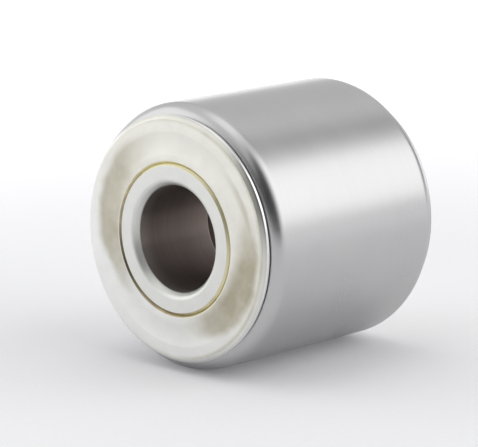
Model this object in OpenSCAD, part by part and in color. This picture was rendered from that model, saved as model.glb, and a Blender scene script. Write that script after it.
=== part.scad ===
// Sealed double-row needle track roller. A thick outer ring turns on two full rows of
// loose needles around a fixed inner ring, and two end washers close the ends.
// The roller turns about +Y, +Z is up, and the origin is the middle of the bore.
// The front end is the one at -Y.

/* [Outer ring] */
// Outer diameter, which is the rolling surface (1 7/8 in)
outer_d = 47.625; // [46:0.125:52]
// Width of the outer ring between its end faces (1 5/8 in)
outer_w = 41.275; // [41:0.025:41.6]
// Radius that rounds the two outer corners
corner_r = 2.75; // [1:0.25:2.75]
// Depth of the seal counterbore in each end face
counterbore_depth = 1.7; // [1.5:0.05:1.75]

/* [Inner ring] */
// Bore diameter, for a 3/4 in pin or bolt
bore_d = 19.05; // [17:0.05:20]
// Length of the inner ring, which is the width of the whole roller (1 3/4 in)
overall_w = 44.45; // [44.2:0.05:44.6]
// Chamfer at both mouths of the bore, measured across the end face
bore_chamfer = 0.8; // [0.2:0.1:1.2]
// How deep the same chamfer runs into the bore
bore_chamfer_depth = 1.1; // [0.2:0.1:1.5]
// Width of the grease groove around the middle of the bore (5/16 in)
groove_w = 7.94; // [4:0.02:12]
// Depth of the grease groove
groove_depth = 0.5; // [0.2:0.1:0.8]
// Diameter of the two grease holes from the groove to the needles
grease_hole_d = 2.4; // [1:0.1:3]

/* [End washers] */
// Diameter of the press seat on the inner ring
seat_d = 26.9; // [26.4:0.1:27.2]
// Outer diameter of the washer's flange
washer_d = 44; // [43:0.1:45]
// Full thickness of the washer, flange and boss together
washer_w = 3.1; // [2.9:0.05:3.2]
// Thickness of the flange that covers the end of the outer ring
flange_w = 1.25; // [1:0.05:1.3]
// Diameter of the boss that holds the needles in and carries the seal
boss_d = 37.2; // [36.6:0.1:38]
// Bevel on the flange's outer edge
edge_bevel = 0.7; // [0.3:0.05:0.8]
// How far the washer's face sits below the end of the inner ring
washer_recess = 0.1; // [0.05:0.05:0.3]
// Depth of the shallow dish rolled into the washer's face
dish_depth = 0.12; // [0.05:0.01:0.2]
// Each side of the V-shaped line where the washer meets the inner ring
joint_bevel = 0.4; // [0.1:0.05:0.5]

/* [Needles] */
// Needle diameter (5/32 in)
needle_d = 3.969; // [3.9:0.001:3.98]
// Needles in each of the two rows
needles_per_row = 25; // [25:1:25]
// Radius that rounds the needle's ends
needle_end_r = 0.4; // [0.1:0.1:1]
// Thickness of the guide ring that floats between the rows
guide_w = 1.5; // [1:0.1:3]

/* [Clearances] */
// Space between two neighbouring needles
needle_gap = 0.015; // [0.01:0.005:0.02]
// Radial clearance of a needle against each ring
race_gap = 0.02; // [0.01:0.005:0.03]
// Clearance at each end of a needle
end_gap = 0.08; // [0.02:0.01:0.2]
// Radial clearance of the guide ring against each ring
guide_gap = 0.04; // [0.02:0.01:0.1]
// Clearance of the seal's lips over the washer's boss
lip_gap = 0.05; // [0.02:0.01:0.1]

/* [Hidden] */
$fn = 128;

outer_r = outer_d / 2;
bore_r = bore_d / 2;
seat_r = seat_d / 2;
washer_r = washer_d / 2;
boss_r = boss_d / 2;

// Needle circle, and the two races that it leaves
needle_r = needle_d / 2;
pitch_r = (needle_d + needle_gap) / (2 * sin(180 / needles_per_row));
inner_race_r = pitch_r - needle_r - race_gap;
outer_race_r = pitch_r + needle_r + race_gap;

// Places along the axis, measured from the middle
end_y = overall_w / 2;
face_y = end_y - washer_recess;
flange_back_y = face_y - flange_w;
thrust_y = face_y - washer_w;
row_y = (thrust_y + guide_w / 2) / 2;
needle_w = thrust_y - guide_w / 2 - 2 * end_gap;

// Dish in the washer's face: an arc between its two rims
dish_inner_r = seat_r + 1.5;
dish_outer_r = washer_r - 2.8;
dish_half = (dish_outer_r - dish_inner_r) / 2;
dish_arc_r = (dish_half * dish_half + dish_depth * dish_depth) / (2 * dish_depth);

// Seal in the outer ring's counterbore
counterbore_r = boss_r + 1.6;
counterbore_y = outer_w / 2 - counterbore_depth;
seal_inner_y = counterbore_y + 0.15;
seal_outer_y = outer_w / 2 - 0.1;
lip_w = 0.4;
web_w = 0.7;

// Small edge breaks, and how far a cut runs past the face that it starts from
edge_break = 0.2;
grease_notches = 6;
grease_notch_r = 0.8;
past = 1;

function needle_name(row, i) = str(row, "_needle_", i < 10 ? "0" : "", i);
function needle_angle(row, i) = 360 * (i - (row == "rear" ? 0.5 : 1)) / needles_per_row;

// Turns a section into a ring about the roller's axis: the section's x is the radius
// and its y is the place along the axis.
module turned() {
    rotate([-90, 0, 0]) rotate_extrude() children();
}

// Draws a cut at both ends of a section that is symmetric about its middle
module both_ends() {
    children();
    mirror([0, 1]) children();
}

// Diamond that bevels a corner at the origin: across is its reach along the section's x,
// and along is its reach along y
module bevel(across, along) {
    polygon([[-across, 0], [0, along], [across, 0], [0, -along]]);
}

// What lies outside a rounded corner whose arc is centred on the origin
module outside_of_corner(r) {
    difference() {
        square(r + past);
        circle(r);
    }
}

module outer_ring_section() {
    wall = outer_r - outer_race_r;
    difference() {
        translate([outer_race_r, -outer_w / 2]) square([wall, outer_w]);
        both_ends() {
            translate([outer_r - corner_r, outer_w / 2 - corner_r]) outside_of_corner(corner_r);
            translate([outer_race_r - past, counterbore_y])
                square([counterbore_r - outer_race_r + past, counterbore_depth + past]);
            translate([counterbore_r, outer_w / 2]) bevel(edge_break, edge_break);
        }
    }
}

module outer_ring() {
    color("silver") turned() outer_ring_section();
}

module inner_ring_section() {
    wall = inner_race_r - bore_r;
    groove_half = groove_w / 2;
    difference() {
        translate([bore_r, -end_y]) square([wall, overall_w]);
        both_ends() {
            translate([seat_r, thrust_y]) square([wall, end_y]);
            translate([seat_r, end_y]) bevel(joint_bevel, joint_bevel);
            translate([bore_r, end_y]) bevel(bore_chamfer, bore_chamfer_depth);
            translate([bore_r, groove_half]) bevel(edge_break, edge_break);
        }
        translate([bore_r - past, -groove_half]) square([groove_depth + past, groove_w]);
    }
}

module inner_ring() {
    color("whitesmoke") difference() {
        turned() inner_ring_section();
        translate([0, 0, -outer_r]) cylinder(h = outer_d, d = grease_hole_d);
    }
}

// Section of the washer at the rear end: flange, boss, dish and bevels
module end_washer_section() {
    difference() {
        polygon([
            [seat_r, thrust_y],
            [boss_r - edge_break, thrust_y],
            [boss_r, thrust_y + edge_break],
            [boss_r, flange_back_y],
            [washer_r, flange_back_y],
            [washer_r, face_y - edge_bevel],
            [washer_r - edge_bevel, face_y],
            [seat_r + joint_bevel, face_y],
            [seat_r, face_y - joint_bevel]
        ]);
        translate([dish_inner_r + dish_half, face_y - dish_depth + dish_arc_r])
            circle(dish_arc_r, $fn = 360);
    }
}

module rear_end_washer() {
    color("ivory") turned() end_washer_section();
}

module front_end_washer() {
    color("ivory") turned() mirror([0, 1]) end_washer_section();
}

// Section of the seal at the rear end: a rim in the counterbore and two lips
module seal_section() {
    lip_r = boss_r + lip_gap;
    rim_r = counterbore_r - web_w;
    middle_y = (seal_inner_y + seal_outer_y) / 2;
    polygon([
        [counterbore_r, seal_inner_y],
        [counterbore_r, seal_outer_y],
        [rim_r, seal_outer_y],
        [lip_r, seal_outer_y - lip_w / 2],
        [lip_r, seal_outer_y - lip_w],
        [rim_r, middle_y],
        [lip_r, seal_inner_y + lip_w],
        [lip_r, seal_inner_y + lip_w / 2],
        [rim_r, seal_inner_y]
    ]);
}

module rear_seal() {
    color("dimgray") turned() seal_section();
}

module front_seal() {
    color("dimgray") turned() mirror([0, 1]) seal_section();
}

// Flat ring that keeps the two rows of needles apart, notched to let grease past
module guide_ring() {
    inner = inner_race_r + guide_gap;
    outer = outer_race_r - guide_gap;
    color("goldenrod") difference() {
        turned() polygon([
            [inner, -guide_w / 2],
            [outer - edge_break, -guide_w / 2],
            [outer, edge_break - guide_w / 2],
            [outer, guide_w / 2 - edge_break],
            [outer - edge_break, guide_w / 2],
            [inner, guide_w / 2]
        ]);
        for (k = [0:grease_notches - 1]) {
            a = 360 * k / grease_notches;
            translate([inner * cos(a), guide_w, inner * sin(a)])
                rotate([90, 0, 0]) cylinder(h = 2 * guide_w, r = grease_notch_r);
        }
    }
}

// One needle, a cylinder with rounded ends, at its place in its row
module needle(row, i) {
    a = needle_angle(row, i);
    y = row == "front" ? -row_y : row_y;
    color("lightsteelblue") translate([pitch_r * cos(a), y, pitch_r * sin(a)]) turned()
        difference() {
            translate([0, -needle_w / 2]) square([needle_r, needle_w]);
            both_ends() translate([needle_r - needle_end_r, needle_w / 2 - needle_end_r])
                outside_of_corner(needle_end_r);
        }
}

outer_ring();
inner_ring();
front_end_washer();
rear_end_washer();
front_seal();
rear_seal();
guide_ring();
for (row = ["front", "rear"], i = [1:needles_per_row]) {
    needle(row, i);
}
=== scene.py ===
import math

import bmesh
import bpy
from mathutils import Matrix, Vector


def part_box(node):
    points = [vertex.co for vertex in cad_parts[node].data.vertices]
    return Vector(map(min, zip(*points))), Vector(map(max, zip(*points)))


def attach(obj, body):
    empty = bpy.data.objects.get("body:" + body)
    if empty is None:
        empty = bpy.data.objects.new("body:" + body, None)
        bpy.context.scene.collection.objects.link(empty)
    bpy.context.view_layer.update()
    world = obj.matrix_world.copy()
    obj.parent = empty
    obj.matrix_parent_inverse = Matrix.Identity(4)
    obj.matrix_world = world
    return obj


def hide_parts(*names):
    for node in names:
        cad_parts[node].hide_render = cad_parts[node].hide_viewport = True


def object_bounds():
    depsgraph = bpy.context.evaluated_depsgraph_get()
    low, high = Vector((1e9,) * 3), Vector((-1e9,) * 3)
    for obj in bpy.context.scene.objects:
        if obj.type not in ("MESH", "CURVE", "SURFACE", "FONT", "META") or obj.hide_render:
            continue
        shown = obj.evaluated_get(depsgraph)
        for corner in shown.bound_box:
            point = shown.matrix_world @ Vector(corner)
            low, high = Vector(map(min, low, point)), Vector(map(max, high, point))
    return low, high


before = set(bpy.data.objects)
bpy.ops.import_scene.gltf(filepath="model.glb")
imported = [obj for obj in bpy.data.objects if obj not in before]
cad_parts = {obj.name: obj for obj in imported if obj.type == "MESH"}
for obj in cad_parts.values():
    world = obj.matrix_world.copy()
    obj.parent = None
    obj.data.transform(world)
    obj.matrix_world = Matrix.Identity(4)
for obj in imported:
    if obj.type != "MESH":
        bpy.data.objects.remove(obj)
cad_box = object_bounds()

# Lengths in this script are in millimetres up to the point where a mesh or a light is made.
MM = 0.001


# ---------------------------------------------------------------------------------------------
# Sizes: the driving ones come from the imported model, the small ones repeat its design
# ---------------------------------------------------------------------------------------------
def farthest(node, axis):
    """How far a node reaches from the roller's middle along one axis, in mm."""
    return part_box(node)[1]["xyz".index(axis)] / MM


def nearest(node, axis):
    """Where a node of the rear half starts along one axis, in mm."""
    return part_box(node)[0]["xyz".index(axis)] / MM


OUTER_R = farthest("outer_ring", "x")
OUTER_END = farthest("outer_ring", "y")
CORNER_R = 2.75
COUNTERBORE_R = farthest("rear_seal", "x")
COUNTERBORE_DEPTH = 1.7
OUTER_RACE_R = 17.898

INNER_RACE_R = farthest("inner_ring", "x")
INNER_END = farthest("inner_ring", "y")
BORE_R = 9.525
BORE_CHAMFER = 0.8
BORE_CHAMFER_DEPTH = 1.1
GROOVE_WIDTH = 7.94
GROOVE_DEPTH = 0.5
GREASE_HOLE_R = 1.2
SEAT_R = 13.45
JOINT_BEVEL = 0.4

WASHER_R = farthest("rear_end_washer", "x")
WASHER_FACE = farthest("rear_end_washer", "y")
WASHER_THRUST = nearest("rear_end_washer", "y")
FLANGE_WIDTH = 1.25
BOSS_R = 18.6
EDGE_BEVEL = 0.7
DISH_INNER_R = SEAT_R + 1.5
DISH_OUTER_R = WASHER_R - 2.8
DISH_DEPTH = 0.12

SEAL_INNER = nearest("rear_seal", "y")
SEAL_OUTER = farthest("rear_seal", "y")
LIP_R = BOSS_R + 0.05

RING_SEGMENTS = 288
LONGEST_RUN = 3.0


# ---------------------------------------------------------------------------------------------
# Camera: a long lens from the front right, a little above the roller
# ---------------------------------------------------------------------------------------------
CAMERA_AZIMUTH = math.radians(44.03)
CAMERA_ELEVATION = math.radians(12.0)
CAMERA_DISTANCE = 511.65
CAMERA_ASIDE = -3.95
CAMERA_RAISED = -0.48
CAMERA_LENS = 213.9
SENSOR_WIDTH = 36.0


def add_camera():
    across = math.cos(CAMERA_ELEVATION)
    back = Vector((
        math.sin(CAMERA_AZIMUTH) * across,
        -math.cos(CAMERA_AZIMUTH) * across,
        math.sin(CAMERA_ELEVATION),
    ))
    right = Vector((math.cos(CAMERA_AZIMUTH), math.sin(CAMERA_AZIMUTH), 0))
    up = back.cross(right)
    data = bpy.data.cameras.new("camera")
    data.lens = CAMERA_LENS
    data.sensor_width = SENSOR_WIDTH
    data.clip_start = 0.01
    data.clip_end = 20
    camera = bpy.data.objects.new("camera", data)
    camera.location = (right * CAMERA_ASIDE + up * CAMERA_RAISED + back * CAMERA_DISTANCE) * MM
    camera.rotation_mode = "QUATERNION"
    camera.rotation_quaternion = (-back).to_track_quat("-Z", "Y")
    bpy.context.collection.objects.link(camera)
    bpy.context.scene.camera = camera


# ---------------------------------------------------------------------------------------------
# Node trees
# ---------------------------------------------------------------------------------------------
class Graph:
    """A node tree. Each method adds one node and returns its output."""

    def __init__(self, tree):
        self.tree = tree

    def node(self, kind, inputs=(), **settings):
        node = self.tree.nodes.new(kind)
        for name, value in settings.items():
            setattr(node, name, value)
        for socket, value in dict(inputs).items():
            self.feed(node.inputs[socket], value)
        return node

    def feed(self, socket, value):
        """Gives a socket a value, or links it to another node's output."""
        if isinstance(value, bpy.types.NodeSocket):
            self.tree.links.new(value, socket)
        else:
            socket.default_value = value

    def math(self, operation, a, b=0.0, c=0.0):
        return self.node("ShaderNodeMath", {0: a, 1: b, 2: c}, operation=operation).outputs[0]

    def product(self, *factors):
        result = factors[0]
        for factor in factors[1:]:
            result = self.math("MULTIPLY", result, factor)
        return result

    def total(self, *terms):
        result = terms[0]
        for term in terms[1:]:
            result = self.math("ADD", result, term)
        return result

    def rise(self, value, start, end):
        """0 below start, 1 above end, and a smooth step between them."""
        inputs = {"Value": value, "From Min": start, "From Max": end}
        return self.node("ShaderNodeMapRange", inputs, interpolation_type="SMOOTHSTEP").outputs[0]

    def fall(self, value, start, end):
        """1 below start, 0 above end, and a smooth step between them."""
        return self.math("SUBTRACT", 1.0, self.rise(value, start, end))

    def spread(self, value, low, high):
        """A 0 to 1 value, stretched to run from low to high."""
        return self.math("MULTIPLY_ADD", value, high - low, low)

    def join(self, x, y, z):
        return self.node("ShaderNodeCombineXYZ", {0: x, 1: y, 2: z}).outputs[0]

    def noise(self, vector, scale=1.0, detail=2.0, roughness=0.5, distortion=0.0):
        inputs = {
            "Vector": vector,
            "Scale": scale,
            "Detail": detail,
            "Roughness": roughness,
            "Distortion": distortion,
        }
        return self.node("ShaderNodeTexNoise", inputs, noise_dimensions="3D").outputs["Fac"]

    def mix(self, factor, first, second):
        """Mixes two colours."""
        node = self.node("ShaderNodeMix", data_type="RGBA")
        for socket, value in ((0, factor), (6, first), (7, second)):
            self.feed(node.inputs[socket], value)
        return node.outputs[2]

    def shade(self, colour, low, high, value):
        """Darkens or lightens a colour: times low where value is 0, times high where it is 1."""
        node = self.node("ShaderNodeVectorMath", operation="SCALE")
        self.feed(node.inputs[0], colour)
        self.feed(node.inputs["Scale"], self.spread(value, low, high))
        return node.outputs[0]

    def bump(self, height):
        """A normal from a height in mm."""
        inputs = {"Height": height, "Distance": MM, "Strength": 1.0}
        return self.node("ShaderNodeBump", inputs).outputs[0]


class TurnedMetal(Graph):
    """A material for a ring turned about the roller's axis, with the places on it in mm."""

    def __init__(self, name, metallic=1.0):
        self.material = bpy.data.materials.new(name)
        self.material.use_nodes = True
        super().__init__(self.material.node_tree)
        self.shader = self.tree.nodes["Principled BSDF"]
        self.shader.inputs["Metallic"].default_value = metallic
        place = self.node("ShaderNodeTexCoord").outputs["Object"]
        self.place = self.node("ShaderNodeVectorMath", {0: place, "Scale": 1 / MM},
                               operation="SCALE").outputs[0]
        x, y, z = self.node("ShaderNodeSeparateXYZ", {0: self.place}).outputs
        self.radius = self.math("SQRT", self.total(self.product(x, x), self.product(z, z)))
        self.along = self.math("ABSOLUTE", y)
        self.cosine = self.math("DIVIDE", x, self.radius)
        self.sine = self.math("DIVIDE", z, self.radius)
        self.run = self.math("SUBTRACT", self.radius, self.along)

    def marks(self, pitch, around=1.5, detail=2.0):
        """Fine lines left by a tool or a wheel, about a pitch apart and running round the ring."""
        across = self.product(self.run, 1 / pitch)
        turn = self.join(across, self.product(self.cosine, around), self.product(self.sine, around))
        return self.noise(turn, detail=detail)

    def crescent(self, middle, half_span, inner, outer, softness):
        """1 inside a crescent round the axis, 0 outside. Its middle and half span are in degrees
        round the ring. Each border's radius is (at the middle, slope, curve) along the span,
        and its softness is the distance over which it fades."""
        cosine, sine = math.cos(math.radians(middle)), math.sin(math.radians(middle))
        x = self.total(self.product(self.cosine, cosine), self.product(self.sine, sine))
        z = self.total(self.product(self.sine, cosine), self.product(self.cosine, -sine))
        place = self.product(self.math("DEGREES", self.math("ARCTAN2", z, x)), 1 / half_span)
        noise = self.noise(self.place, scale=0.22, detail=3)
        wobble = self.spread(noise, -0.6 * softness, 0.6 * softness)
        radius = self.math("ADD", self.radius, wobble)
        borders = []
        for start, slope, curve in (inner, outer):
            border = self.total(start, self.product(place, slope),
                                self.product(place, place, curve))
            borders.append(self.math("SUBTRACT", radius, border))
        ends = self.fall(self.math("ABSOLUTE", self.total(place, self.product(wobble, 0.08))),
                         0.35, 1.10)
        return self.product(
            self.rise(borders[0], -softness, softness),
            self.fall(borders[1], -0.7 * softness, 0.5 * softness),
            ends,
        )

    def gold(self):
        """The gold of the joint line, browner at the lower left: painted shade on that side."""
        towards = self.total(self.product(self.cosine, -0.8), self.product(self.sine, -0.6))
        shaded_side = self.rise(self.total(towards, self.noise(self.place, scale=0.5)), 0.2, 1.6)
        return self.mix(shaded_side, (0.77, 0.72, 0.48, 1), (0.36, 0.29, 0.19, 1))

    def finish(self, colour, roughness, height):
        self.feed(self.shader.inputs["Base Color"], colour)
        self.feed(self.shader.inputs["Roughness"], roughness)
        self.feed(self.shader.inputs["Normal"], self.bump(height))
        return self.material


# ---------------------------------------------------------------------------------------------
# Materials
# ---------------------------------------------------------------------------------------------
# Tan crescents in the washer's dish, a painted reflection of something brown: middle and half span
# in degrees round the ring, the inner and outer border and their softness, as in
# TurnedMetal.crescent, and then strength
TAN_REFLECTIONS = [
    (170, 64, (13.2, -1.6, 1.9), (19.3, -2.0, -1.9), 1.6, 0.80),
    (-26, 52, (14.4, 2.2, 0.7), (20.3, 1.3, -2.2), 1.6, 1.0),
    (14, 36, (18.0, -0.3, 0.0), (19.4, -0.7, 0.0), 0.6, 0.55),
]


def ground_steel():
    """Centreless-ground bearing steel: a grey satin with fine lines round the ring."""
    metal = TurnedMetal("ground_steel")
    fine = metal.marks(pitch=0.40, around=1.2)
    broad = metal.marks(pitch=1.1, around=0.8)
    cloud = metal.noise(metal.place, scale=0.12, detail=3)
    colour = metal.mix(cloud, (0.503, 0.502, 0.507, 1), (0.548, 0.546, 0.543, 1))
    colour = metal.shade(colour, 0.98, 1.02, fine)
    roughness = metal.total(
        0.235,
        metal.product(broad, 0.05),
        metal.product(cloud, 0.06),
    )
    height = metal.total(metal.product(fine, 0.0001), metal.product(broad, 0.0003))
    metal.shader.inputs["Specular Tint"].default_value = (0.88, 0.88, 0.88, 1)
    return metal.finish(colour, roughness, height)


def with_tan_reflections(metal, colour, turn):
    """A colour with tan crescents over the washer's dish, a painted reflection, turned by some
    degrees.
    """
    tan_reflection = 0.0
    for middle, *crescent, strength in TAN_REFLECTIONS:
        shape = metal.crescent(middle + turn, *crescent)
        tan_reflection = metal.math("MAXIMUM", tan_reflection, metal.product(shape, strength))
    mottle = metal.noise(metal.place, scale=0.30, detail=4, roughness=0.6)
    tan_reflection = metal.product(tan_reflection, metal.spread(mottle, 0.50, 1.35))
    outside_joint = metal.rise(metal.radius, SEAT_R + JOINT_BEVEL, SEAT_R + JOINT_BEVEL + 0.3)
    return metal.mix(metal.product(tan_reflection, outside_joint), colour, (0.435, 0.402, 0.305, 1))


def washer_cream(metal, cloud):
    """The plating's cream colour, whiter and lighter at the lower left and outside: partly a neutral
    tint, partly painted light that lifts the lower part.
    """
    lower_left = metal.total(metal.product(metal.cosine, -0.55), metal.product(metal.sine, -0.83))
    outwards = metal.product(metal.rise(metal.radius, 16.0, 20.5), 0.45)
    whiter_and_lit = metal.rise(metal.total(lower_left, outwards), 0.10, 1.15)
    cream = metal.mix(cloud, (0.820, 0.805, 0.74, 1), (0.700, 0.695, 0.645, 1))
    white = metal.mix(cloud, (0.865, 0.870, 0.850, 1), (0.770, 0.775, 0.755, 1))
    return metal.mix(whiter_and_lit, cream, white)


def olive_edge_shade(metal, cloud):
    """How strong the olive line just inside the washer's bevel is, a painted shade where the edge
    turns away. It fades at the left.
    """
    bevel_r = WASHER_R - EDGE_BEVEL
    return metal.product(
        metal.rise(metal.radius, bevel_r - 0.75, bevel_r - 0.15),
        metal.fall(metal.radius, bevel_r - 0.10, bevel_r + 0.15),
        metal.rise(metal.cosine, -0.9, 0.5),
        metal.spread(cloud, 0.2, 0.9),
    )


def plated_washer(end, reflections_turn, rim):
    """Cream satin plating, with a painted reflection as tan crescents in the dish, and gold in the
    joint with the inner ring.
    The crescents are turned round the ring by some degrees, and rim is how white the rim is, partly
    a painted highlight."""
    metal = TurnedMetal(f"plated_washer_{end}")
    cloud = metal.noise(metal.place, scale=0.22, detail=3, distortion=0.6)
    grain = metal.noise(metal.place, scale=5.0, detail=3, roughness=0.6)
    lines = metal.marks(pitch=0.35, around=1.2)
    on_face = metal.rise(metal.along, WASHER_FACE - EDGE_BEVEL, WASHER_FACE - 0.3)
    on_rim = metal.rise(metal.radius, WASHER_R - 0.16, WASHER_R - 0.04)
    in_joint = metal.fall(metal.radius, SEAT_R + JOINT_BEVEL * 0.7, SEAT_R + JOINT_BEVEL * 1.3)

    # Painted reflection: tan crescents over the dish.
    face = with_tan_reflections(metal, washer_cream(metal, cloud), reflections_turn)
    # Painted shade: an olive line inside the bevel, strongest at the right.
    face = metal.mix(olive_edge_shade(metal, cloud), face, (0.52, 0.50, 0.40, 1))
    face = metal.mix(in_joint, face, metal.gold())
    # The rim's colour: partly the machined edge's own brightness, partly a painted highlight for the
    # bright line at the rim.
    side = metal.mix(on_rim, (0.58, 0.58, 0.56, 1), (rim, rim, rim * 0.99, 1))
    colour = metal.shade(metal.mix(on_face, side, face), 0.955, 1.045, grain)
    roughness = metal.total(
        0.22,
        metal.product(on_face, 0.14),
        metal.product(cloud, 0.10),
        metal.product(grain, 0.06),
    )
    height = metal.total(
        metal.product(cloud, 0.05),
        metal.product(grain, 0.0016),
        metal.product(lines, 0.0012),
    )
    return metal.finish(colour, roughness, height)


def bore_mouth(metal):
    """How near a place in the bore is to its mouth: 1 at the mouth, 0 further in."""
    return metal.rise(metal.along, INNER_END - 4.2, INNER_END - 1.4)


def bore_colour(metal, turning):
    """Dark brown, with painted shade that makes it darker deeper in and greyer at the mouths, and a
    painted highlight in a band along one side. The groove is painted nearly black as shade, between
    edges painted lighter as highlights."""
    half_groove = GROOVE_WIDTH / 2
    towards_mouth = metal.rise(metal.along, GROOVE_WIDTH, INNER_END - 5.0)
    # Painted shade: the groove nearly black.
    groove_shade = metal.product(
        metal.rise(metal.radius, BORE_R + 0.05, BORE_R + 0.12),
        metal.fall(metal.along, half_groove - 0.05, half_groove + 0.05),
    )
    # Painted highlight: lighter bands along the groove's edges.
    groove_edge_highlight = metal.product(
        metal.rise(metal.along, half_groove - 0.15, half_groove),
        metal.fall(metal.along, half_groove + 0.15, half_groove + 0.35),
    )
    # Painted shade: darker deeper in the bore, and greyer towards and at the mouths where more light
    # reaches.
    dark = metal.mix(towards_mouth, (0.375, 0.330, 0.312, 1), (0.435, 0.390, 0.370, 1))
    dark = metal.mix(bore_mouth(metal), dark, (0.62, 0.60, 0.565, 1))
    # Painted highlight: up to 35 % lighter in a band along the bore's side towards -X.
    dark = metal.shade(dark, 1.0, 1.35, metal.rise(metal.cosine, -0.93, -1.0))
    dark = metal.mix(groove_edge_highlight, dark, (0.62, 0.58, 0.55, 1))
    dark = metal.mix(groove_shade, dark, (0.10, 0.07, 0.065, 1))
    return metal.shade(dark, 0.88, 1.12, turning)


def plated_inner_ring():
    """Matt whitish plating outside, gold in the joint, and a dark turned bore."""
    metal = TurnedMetal("plated_inner_ring")
    cloud = metal.noise(metal.place, scale=0.3, detail=3)
    grain = metal.noise(metal.place, scale=6.0, detail=3, roughness=0.6)
    turning = metal.marks(pitch=0.3, around=0.6, detail=3)
    feed = metal.marks(pitch=0.10, around=0.3)

    chamfer_start = INNER_END - BORE_CHAMFER_DEPTH
    on_bore = metal.product(
        metal.fall(metal.radius, BORE_R + 0.04, BORE_R + 0.14),
        metal.fall(metal.along, chamfer_start - 0.05, chamfer_start + 0.10),
    )
    in_groove = metal.product(
        metal.fall(metal.radius, BORE_R + 1.0, BORE_R + 1.3),
        metal.fall(metal.along, GROOVE_WIDTH / 2, GROOVE_WIDTH / 2 + 0.1),
    )
    in_bore = metal.math("MAXIMUM", on_bore, in_groove)
    in_joint = metal.rise(metal.radius, SEAT_R - JOINT_BEVEL * 1.2, SEAT_R - JOINT_BEVEL * 0.7)

    white = metal.mix(cloud, (0.785, 0.785, 0.755, 1), (0.695, 0.705, 0.675, 1))
    colour = metal.mix(in_joint, white, metal.gold())
    colour = metal.mix(in_bore, colour, bore_colour(metal, turning))
    colour = metal.shade(colour, 0.955, 1.045, grain)
    roughness = metal.total(
        0.46,
        metal.product(grain, 0.08),
        metal.product(in_bore, -0.06),
    )
    turned_height = metal.spread(bore_mouth(metal), 0.003, 0.020)
    height = metal.total(
        metal.product(grain, 0.0014),
        metal.product(turning, in_bore, turned_height),
        metal.product(feed, in_bore, 0.012),
    )
    return metal.finish(colour, roughness, height)


def seal_rubber():
    """Black nitrile rubber with a faint moulded grain."""
    rubber = TurnedMetal("seal_rubber", metallic=0.0)
    grain = rubber.noise(rubber.place, scale=7.0, detail=4)
    flow = rubber.noise(rubber.place, scale=0.8, detail=2)
    colour = rubber.mix(flow, (0.018, 0.018, 0.019, 1), (0.032, 0.031, 0.030, 1))
    roughness = rubber.spread(grain, 0.48, 0.68)
    return rubber.finish(colour, roughness, rubber.product(grain, 0.004))


def guide_bronze():
    """Turned bronze, faintly pitted, with the wear of the needle ends."""
    metal = TurnedMetal("guide_bronze")
    pits = metal.noise(metal.place, scale=4.0, detail=4, roughness=0.7)
    wear = metal.marks(pitch=0.5, around=0.8)
    colour = metal.mix(wear, (0.50, 0.29, 0.12, 1), (0.68, 0.45, 0.22, 1))
    colour = metal.shade(colour, 0.8, 1.1, pits)
    roughness = metal.spread(pits, 0.30, 0.50)
    return metal.finish(colour, roughness, metal.product(pits, 0.004))


def needle_steel():
    """Lapped needle steel, near mirror, with a trace of lapping lines and oil."""
    metal = TurnedMetal("needle_steel")
    lapping = metal.marks(pitch=0.2, around=0.5)
    oil = metal.noise(metal.place, scale=0.4, detail=3)
    colour = metal.mix(oil, (0.60, 0.60, 0.61, 1), (0.66, 0.655, 0.64, 1))
    roughness = metal.total(metal.spread(lapping, 0.10, 0.16), metal.product(oil, 0.06))
    return metal.finish(colour, roughness, metal.product(lapping, 0.0003))


# ---------------------------------------------------------------------------------------------
# Turned pieces: a closed section in (radius, place along the axis), turned about the axis
# ---------------------------------------------------------------------------------------------
def rounded_corner(before, here, after, rounding, steps):
    """Points of the arc that rounds the corner of a section."""
    if rounding == 0:
        return [here]
    to_before = (before - here).normalized()
    to_after = (after - here).normalized()
    turn = math.pi - to_before.angle(to_after)
    reach = rounding * math.tan(turn / 2)
    centre = here + (to_before + to_after).normalized() * rounding / math.cos(turn / 2)
    first = here + to_before * reach - centre
    last = here + to_after * reach - centre
    points = []
    for step in range(steps + 1):
        share = step / steps
        arm = (first * math.sin((1 - share) * turn) + last * math.sin(share * turn)) / math.sin(turn)
        points.append(centre + arm)
    return points


def rounded(corners):
    """A closed section from its corners, each (radius, along, rounding)."""
    places = [Vector(corner[:2]) for corner in corners]
    section = []
    for i, (_, _, rounding) in enumerate(corners):
        following = places[(i + 1) % len(places)]
        steps = 16 if rounding > 1 else 5
        section += rounded_corner(places[i - 1], places[i], following, rounding, steps)
    return section


def with_shorter_runs(section):
    """Splits the long straight runs of a section, so that the faces stay even."""
    split = []
    for i, start in enumerate(section):
        end = section[(i + 1) % len(section)]
        pieces = max(1, math.ceil((end - start).length / LONGEST_RUN))
        split += [start.lerp(end, k / pieces) for k in range(pieces)]
    return split


def both_halves(corners):
    """A section symmetric about the roller's middle, from the corners of its rear half."""
    return corners + [(radius, -along, rounding) for radius, along, rounding in reversed(corners)]


def at_front(corners):
    """The front twin of a rear section."""
    return [(radius, -along, rounding) for radius, along, rounding in reversed(corners)]


def turned_mesh(name, corners):
    """Turns a section about the roller's axis into a closed mesh of quads, in metres."""
    section = with_shorter_runs(rounded(corners))
    mesh = bmesh.new()
    rings = []
    for k in range(RING_SEGMENTS):
        angle = 2 * math.pi * k / RING_SEGMENTS
        cosine, sine = math.cos(angle) * MM, math.sin(angle) * MM
        rings.append([mesh.verts.new((p.x * cosine, p.y * MM, p.x * sine)) for p in section])
    for k, ring in enumerate(rings):
        following = rings[(k + 1) % RING_SEGMENTS]
        for i in range(len(section)):
            j = (i + 1) % len(section)
            mesh.faces.new((ring[i], ring[j], following[j], following[i]))
    bmesh.ops.recalc_face_normals(mesh, faces=mesh.faces)
    data = bpy.data.meshes.new(name)
    mesh.to_mesh(data)
    mesh.free()
    return data


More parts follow.
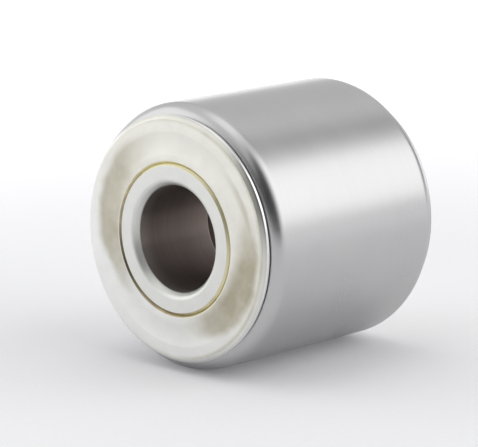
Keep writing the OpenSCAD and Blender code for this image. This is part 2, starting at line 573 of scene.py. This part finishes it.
def smooth(piece):
    """Smooth shading whose normals follow the large faces, so that flats stay flat."""
    piece.data.shade_smooth()
    piece.data.set_sharp_from_angle(angle=math.radians(50))
    normals = piece.modifiers.new("even_normals", "WEIGHTED_NORMAL")
    normals.keep_sharp = True


def add_ring(name, corners, material, body, node):
    """Adds a turned piece that stands for a node of the model and rides with its body."""
    piece = bpy.data.objects.new(name, turned_mesh(name, corners))
    bpy.context.collection.objects.link(piece)
    piece.data.materials.append(material)
    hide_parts(node)
    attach(piece, body)
    return piece


def outer_ring_corners():
    counterbore = OUTER_END - COUNTERBORE_DEPTH
    return both_halves([
        (OUTER_RACE_R, counterbore, 0.15),
        (COUNTERBORE_R, counterbore, 0.15),
        (COUNTERBORE_R, OUTER_END, 0.20),
        (OUTER_R, OUTER_END, CORNER_R),
    ])


def inner_ring_corners():
    half_groove = GROOVE_WIDTH / 2
    return both_halves([
        (BORE_R + GROOVE_DEPTH, half_groove, 0.12),
        (BORE_R, half_groove, 0.15),
        (BORE_R, INNER_END - BORE_CHAMFER_DEPTH, 0.90),
        (BORE_R + BORE_CHAMFER, INNER_END, 1.00),
        (SEAT_R - JOINT_BEVEL, INNER_END, 0.12),
        (SEAT_R, INNER_END - JOINT_BEVEL, 0.05),
        (SEAT_R, WASHER_THRUST, 0.03),
        (INNER_RACE_R, WASHER_THRUST, 0.15),
    ])


def end_washer_corners():
    """The rear washer. Its dish is the arc of a circle between the washer's two rims."""
    flange_back = WASHER_FACE - FLANGE_WIDTH
    half = (DISH_OUTER_R - DISH_INNER_R) / 2
    arc_r = (half * half + DISH_DEPTH * DISH_DEPTH) / (2 * DISH_DEPTH)
    middle_r = DISH_INNER_R + half
    centre = WASHER_FACE - DISH_DEPTH + arc_r
    steps = 16
    dish = []
    for k in range(steps + 1):
        radius = DISH_OUTER_R - 2 * half * k / steps
        along = centre - math.sqrt(arc_r ** 2 - (radius - middle_r) ** 2)
        dish.append((radius, along, 0))
    return [
        (SEAT_R, WASHER_THRUST, 0.05),
        (BOSS_R, WASHER_THRUST, 0.20),
        (BOSS_R, flange_back, 0.15),
        (WASHER_R, flange_back, 0.12),
        (WASHER_R, WASHER_FACE - EDGE_BEVEL, 0.20),
        (WASHER_R - EDGE_BEVEL, WASHER_FACE, 0.30),
        *dish,
        (SEAT_R + JOINT_BEVEL, WASHER_FACE, 0.12),
        (SEAT_R, WASHER_FACE - JOINT_BEVEL, 0.05),
    ]


def seal_corners():
    """The rear seal: a rim in the counterbore and two lips that reach the washer's boss."""
    lip = 0.4
    rim_r = COUNTERBORE_R - 0.7
    return [
        (COUNTERBORE_R, SEAL_INNER, 0.10),
        (COUNTERBORE_R, SEAL_OUTER, 0.10),
        (rim_r, SEAL_OUTER, 0.15),
        (LIP_R, SEAL_OUTER - lip / 2, 0.05),
        (LIP_R, SEAL_OUTER - lip, 0.05),
        (rim_r, (SEAL_INNER + SEAL_OUTER) / 2, 0.12),
        (LIP_R, SEAL_INNER + lip, 0.05),
        (LIP_R, SEAL_INNER + lip / 2, 0.05),
        (rim_r, SEAL_INNER, 0.15),
    ]


def drill_grease_holes(ring):
    """Cuts the two grease holes through the inner ring's wall, above and below the bore."""
    drill = bmesh.new()
    bmesh.ops.create_cone(
        drill,
        cap_ends=True,
        segments=48,
        radius1=GREASE_HOLE_R * MM,
        radius2=GREASE_HOLE_R * MM,
        depth=2 * OUTER_R * MM,
    )
    data = bpy.data.meshes.new("drill")
    drill.to_mesh(data)
    drill.free()
    tool = bpy.data.objects.new("drill", data)
    bpy.context.collection.objects.link(tool)
    cut = ring.modifiers.new("grease_holes", "BOOLEAN")
    cut.operation = "DIFFERENCE"
    cut.solver = "EXACT"
    cut.object = tool
    cut_ring = ring.evaluated_get(bpy.context.evaluated_depsgraph_get())
    drilled = bpy.data.meshes.new_from_object(cut_ring)
    ring.modifiers.remove(cut)
    ring.data = drilled
    bpy.data.objects.remove(tool)


def add_roller():
    steel = ground_steel()
    rubber = seal_rubber()
    # The front washer's rim is whiter than the rear's: partly a painted highlight.
    plating = {
        "front": plated_washer("front", reflections_turn=0, rim=0.82),
        "rear": plated_washer("rear", reflections_turn=145, rim=0.50),
    }

    outer = add_ring("outer_ring_ground", outer_ring_corners(), steel,
                     "outer", "outer_ring")
    inner = add_ring("inner_ring_plated", inner_ring_corners(), plated_inner_ring(),
                     "inner", "inner_ring")
    drill_grease_holes(inner)
    smooth(outer)
    smooth(inner)

    rear_sections = {"end_washer": end_washer_corners(), "seal": seal_corners()}
    for end in ("front", "rear"):
        for part, corners in rear_sections.items():
            section = at_front(corners) if end == "front" else corners
            node = f"{end}_{part}"
            if part == "seal":
                piece = add_ring(f"{node}_moulded", section, rubber, "outer", node)
            else:
                piece = add_ring(f"{node}_plated", section, plating[end],
                                 "inner", node)
            smooth(piece)


def finish_inner_nodes():
    """Gives the needles and the guide ring, which keep the model's own meshes, their finish."""
    steel = needle_steel()
    bronze = guide_bronze()
    for name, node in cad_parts.items():
        if "_needle_" in name:
            node.material_slots[0].material = steel
        elif name == "guide_ring":
            node.material_slots[0].material = bronze


# ---------------------------------------------------------------------------------------------
# Studio: a pale floor under a soft sky of cards
# ---------------------------------------------------------------------------------------------
def floor_paper():
    """White paper, lit from below as a light table is: a little under the roller, and more
    further away."""
    material = bpy.data.materials.new("floor_paper")
    material.use_nodes = True
    paper = Graph(material.node_tree)
    shader = paper.tree.nodes["Principled BSDF"]
    place = paper.node("ShaderNodeTexCoord").outputs["Object"]
    fibre = paper.noise(place, scale=900, detail=3)
    paper.feed(shader.inputs["Base Color"],
               paper.mix(fibre, (0.80, 0.80, 0.81, 1), (0.84, 0.84, 0.85, 1)))
    paper.feed(shader.inputs["Roughness"], paper.spread(fibre, 0.85, 0.95))
    shader.inputs["Specular IOR Level"].default_value = 0.1
    distance = paper.node("ShaderNodeVectorMath", {0: place, 1: (0.05, 0.0, 0.0)},
                          operation="DISTANCE").outputs["Value"]
    glow = paper.spread(paper.rise(distance, 0.10, 0.33), 0.10, 0.33)
    shader.inputs["Emission Color"].default_value = (0.93, 0.925, 1.0, 1)
    paper.feed(shader.inputs["Emission Strength"], glow)
    return material


def add_floor():
    half = 3.0
    cells = 24
    mesh = bmesh.new()
    bmesh.ops.create_grid(mesh, x_segments=cells, y_segments=cells, size=half)
    data = bpy.data.meshes.new("floor")
    mesh.to_mesh(data)
    mesh.free()
    data.materials.append(floor_paper())
    floor = bpy.data.objects.new("floor", data)
    floor.location.z = cad_box[0].z
    bpy.context.collection.objects.link(floor)


# Each card: (from, to) in degrees round the roller's axis, where 0 is +X and 90 is up,
# (from, to) of how far the direction leans along the axis, and how bright it is.
SKY_LEVEL = 0.88
CARDS = {
    "right_softbox": ((9, 62), (0.05, 0.92), 1.80),
    "rear_ceiling": ((73, 90), (0.35, 1.2), 0.50),
    "overhead": ((84, 112), (-0.45, 0.26), 1.45),
    "rear_left_wall": ((116, 160), (0.45, 1.2), 0.79),
    "left_glow": ((172, 200), (0.30, 1.2), 2.6),
    "behind_the_camera": ((-4, 70), (-1.3, -0.25), 0.04),
    "rear_flag": ((-20, 200), (0.95, 1.3), 0.25),
    "in_front": ((-20, 126), (-1.3, -0.86), 0.03),
}
ROUND_SOFTNESS = 12
LEAN_SOFTNESS = 0.22


def add_sky():
    world = bpy.data.worlds.new("studio")
    world.use_nodes = True
    bpy.context.scene.world = world
    sky = Graph(world.node_tree)
    direction = sky.node("ShaderNodeTexCoord").outputs["Generated"]
    x, y, z = sky.node("ShaderNodeSeparateXYZ", {0: direction}).outputs
    around = sky.math("DEGREES", sky.math("ARCTAN2", z, x))
    level = SKY_LEVEL
    for (low, high), (near, far), brightness in CARDS.values():
        cover = sky.product(
            sky.rise(around, low - ROUND_SOFTNESS / 2, low + ROUND_SOFTNESS / 2),
            sky.fall(around, high - ROUND_SOFTNESS / 2, high + ROUND_SOFTNESS / 2),
            sky.rise(y, near - LEAN_SOFTNESS / 2, near + LEAN_SOFTNESS / 2),
            sky.fall(y, far - LEAN_SOFTNESS / 2, far + LEAN_SOFTNESS / 2),
        )
        rest = sky.product(level, sky.math("SUBTRACT", 1.0, cover))
        level = sky.total(rest, sky.product(cover, brightness))
    # Behind the floor's edge the sky is plain white. The cards show only as reflections.
    seen = sky.node("ShaderNodeLightPath").outputs["Is Camera Ray"]
    rest = sky.product(level, sky.math("SUBTRACT", 1.0, seen))
    background = sky.tree.nodes["Background"]
    background.inputs["Color"].default_value = (1.0, 1.0, 1.0, 1)
    sky.feed(background.inputs["Strength"], sky.total(rest, seen))


def add_key_light():
    """A large square softbox at the left, low and in front of the roller."""
    data = bpy.data.lights.new("key", "AREA")
    data.shape = "SQUARE"
    data.size = 0.8
    data.energy = 1.3
    data.color = (1.0, 0.995, 0.985)
    key = bpy.data.objects.new("key", data)
    key.location = (-0.76, -0.43, 0.30)
    key.rotation_mode = "QUATERNION"
    key.rotation_quaternion = (-key.location).to_track_quat("-Z", "Y")
    key.visible_camera = False
    bpy.context.collection.objects.link(key)


add_camera()
add_roller()
finish_inner_nodes()
add_floor()
add_sky()
add_key_light()
bpy.context.scene.view_settings.view_transform = "Standard"
